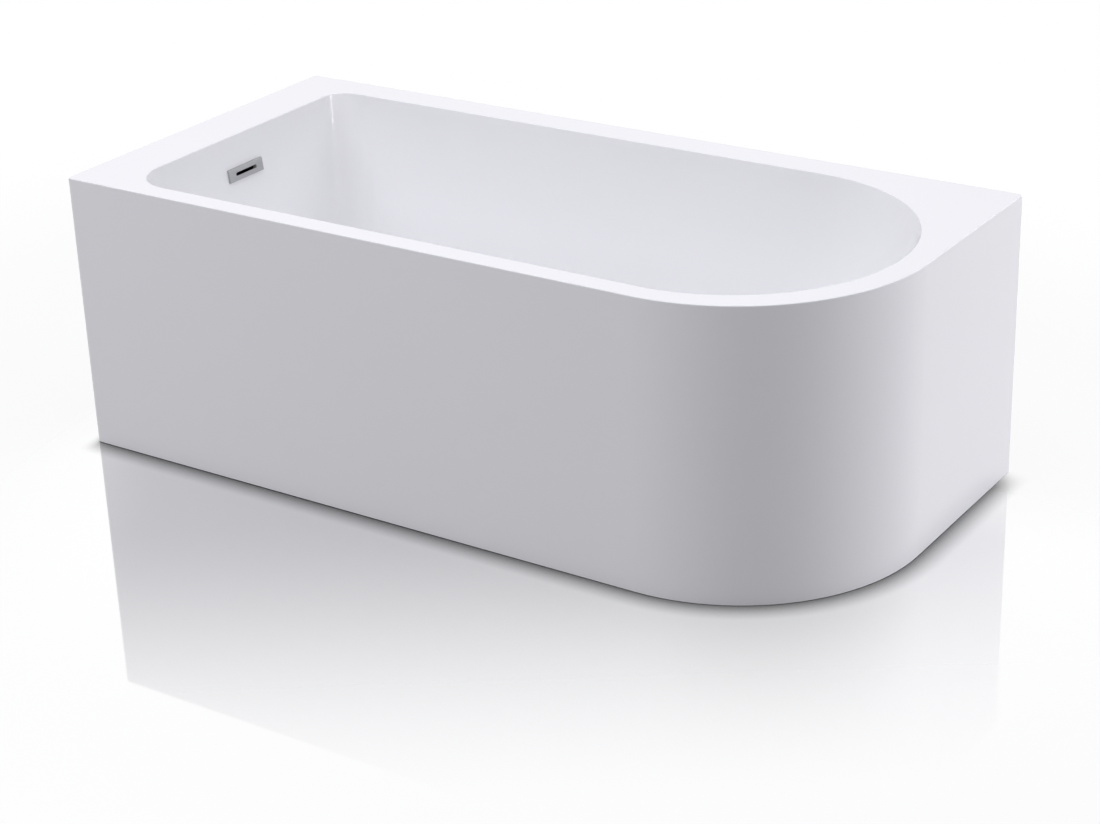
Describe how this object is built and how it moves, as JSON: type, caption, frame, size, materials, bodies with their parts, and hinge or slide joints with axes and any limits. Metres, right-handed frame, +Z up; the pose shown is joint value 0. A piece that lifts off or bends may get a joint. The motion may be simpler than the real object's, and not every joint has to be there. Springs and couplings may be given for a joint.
{
  "type": "corner bathtub",
  "caption": "Back-to-wall corner bathtub in white acrylic: flat rim, basin with one round end, smooth apron with a large rounded corner, slotted overflow, press-to-open drain, levelling feet.",
  "frame": {"origin": "on the floor, under the middle of the overall box", "axes": "+X along the tub from the overflow end to the round end, +Y to the long back wall, +Z up"},
  "size_m": [1.7, 0.8, 0.58],
  "materials": {
    "white_acrylic": "glossy sanitary acrylic",
    "glass_fibre": "rolled glass-fibre laminate, resin-coloured",
    "chipboard": "raw chipboard",
    "galvanised_steel": "galvanised",
    "zinc_steel": "zinc-plated",
    "black_plastic": "moulded, lightly grained",
    "chrome": "polished",
    "black_rubber": "matt",
    "white_plastic": "moulded, half matt",
    "hose_plastic": "ribbed, half matt",
    "brass": "turned",
    "stainless_steel": "bright"
  },
  "bodies": {
    "tub": {"basin_shell": "white_acrylic", "apron": "white_acrylic", "basin_laminate": "glass_fibre", "base_board": "chipboard", "rail_front": "galvanised_steel", "rail_back": "galvanised_steel", "crossbar_left": "galvanised_steel", "crossbar_middle": "galvanised_steel", "crossbar_right": "galvanised_steel", "apron_brackets": "galvanised_steel", "frame_bolts": "zinc_steel", "board_screws": "zinc_steel", "bracket_bolts": "zinc_steel", "weld_nuts": "zinc_steel", "lock_nuts": "zinc_steel", "overflow_screws": "zinc_steel", "tube_end_caps": "black_plastic", "overflow_frame": "black_plastic", "overflow_housing": "black_plastic", "drain_flange": "chrome", "overflow_cover": "chrome", "drain_gasket": "black_rubber", "waste_gasket": "black_rubber", "trap_seal": "black_rubber", "overflow_gasket": "black_rubber", "waste_body": "white_plastic", "trap_cup": "white_plastic", "trap_nut": "white_plastic", "outlet_pipe": "white_plastic", "outlet_nut": "white_plastic", "overflow_hose": "hose_plastic", "plug_barrel": "brass", "plug_spring": "stainless_steel", "hose_clamps": "stainless_steel"},
    "plug": {"plug_cap": "chrome", "plug_seal": "black_rubber"},
    "foot_1": {"foot_pad_1": "black_plastic"},
    "stud_1": {"foot_stud_1": "zinc_steel"},
    "foot_2": {"foot_pad_2": "black_plastic"},
    "stud_2": {"foot_stud_2": "zinc_steel"},
    "foot_3": {"foot_pad_3": "black_plastic"},
    "stud_3": {"foot_stud_3": "zinc_steel"},
    "foot_4": {"foot_pad_4": "black_plastic"},
    "stud_4": {"foot_stud_4": "zinc_steel"},
    "foot_5": {"foot_pad_5": "black_plastic"},
    "stud_5": {"foot_stud_5": "zinc_steel"},
    "foot_6": {"foot_pad_6": "black_plastic"},
    "stud_6": {"foot_stud_6": "zinc_steel"}
  },
  "joints": [
    {"name": "plug_press", "type": "slide", "parent": "tub", "child": "plug", "axis": [0, 0, 1], "range_m": [-0.008, 0], "stiffness_N_per_m": 400, "springref_m": 0.01, "deforming": ["plug_spring"]},
    {"name": "foot_1_level", "type": "slide", "parent": "tub", "child": "foot_1", "axis": [0, 0, -1], "range_m": [-0.001, 0.02]},
    {"name": "foot_1_turn", "type": "hinge", "parent": "foot_1", "child": "stud_1", "pos_m": [-0.805, -0.3, 0.06], "axis": [0, 0, -1], "range_deg": [-205.8, 4114.4]},
    {"name": "foot_2_level", "type": "slide", "parent": "tub", "child": "foot_2", "axis": [0, 0, -1], "range_m": [-0.001, 0.02]},
    {"name": "foot_2_turn", "type": "hinge", "parent": "foot_2", "child": "stud_2", "pos_m": [-0.805, 0.3, 0.06], "axis": [0, 0, -1], "range_deg": [-205.8, 4114.4]},
    {"name": "foot_3_level", "type": "slide", "parent": "tub", "child": "foot_3", "axis": [0, 0, -1], "range_m": [-0.001, 0.02]},
    {"name": "foot_3_turn", "type": "hinge", "parent": "foot_3", "child": "stud_3", "pos_m": [-0.15, -0.3, 0.06], "axis": [0, 0, -1], "range_deg": [-205.8, 4114.4]},
    {"name": "foot_4_level", "type": "slide", "parent": "tub", "child": "foot_4", "axis": [0, 0, -1], "range_m": [-0.001, 0.02]},
    {"name": "foot_4_turn", "type": "hinge", "parent": "foot_4", "child": "stud_4", "pos_m": [-0.15, 0.3, 0.06], "axis": [0, 0, -1], "range_deg": [-205.8, 4114.4]},
    {"name": "foot_5_level", "type": "slide", "parent": "tub", "child": "foot_5", "axis": [0, 0, -1], "range_m": [-0.001, 0.02]},
    {"name": "foot_5_turn", "type": "hinge", "parent": "foot_5", "child": "stud_5", "pos_m": [0.54, -0.3, 0.06], "axis": [0, 0, -1], "range_deg": [-205.8, 4114.4]},
    {"name": "foot_6_level", "type": "slide", "parent": "tub", "child": "foot_6", "axis": [0, 0, -1], "range_m": [-0.001, 0.02]},
    {"name": "foot_6_turn", "type": "hinge", "parent": "foot_6", "child": "stud_6", "pos_m": [0.54, 0.3, 0.06], "axis": [0, 0, -1], "range_deg": [-205.8, 4114.4]}
  ],
  "couplings": [
    {"joint": "foot_1_turn", "follows": "foot_1_level", "rad_per_m": 3590.4},
    {"joint": "foot_2_turn", "follows": "foot_2_level", "rad_per_m": 3590.4},
    {"joint": "foot_3_turn", "follows": "foot_3_level", "rad_per_m": 3590.4},
    {"joint": "foot_4_turn", "follows": "foot_4_level", "rad_per_m": 3590.4},
    {"joint": "foot_5_turn", "follows": "foot_5_level", "rad_per_m": 3590.4},
    {"joint": "foot_6_turn", "follows": "foot_6_level", "rad_per_m": 3590.4}
  ]
}
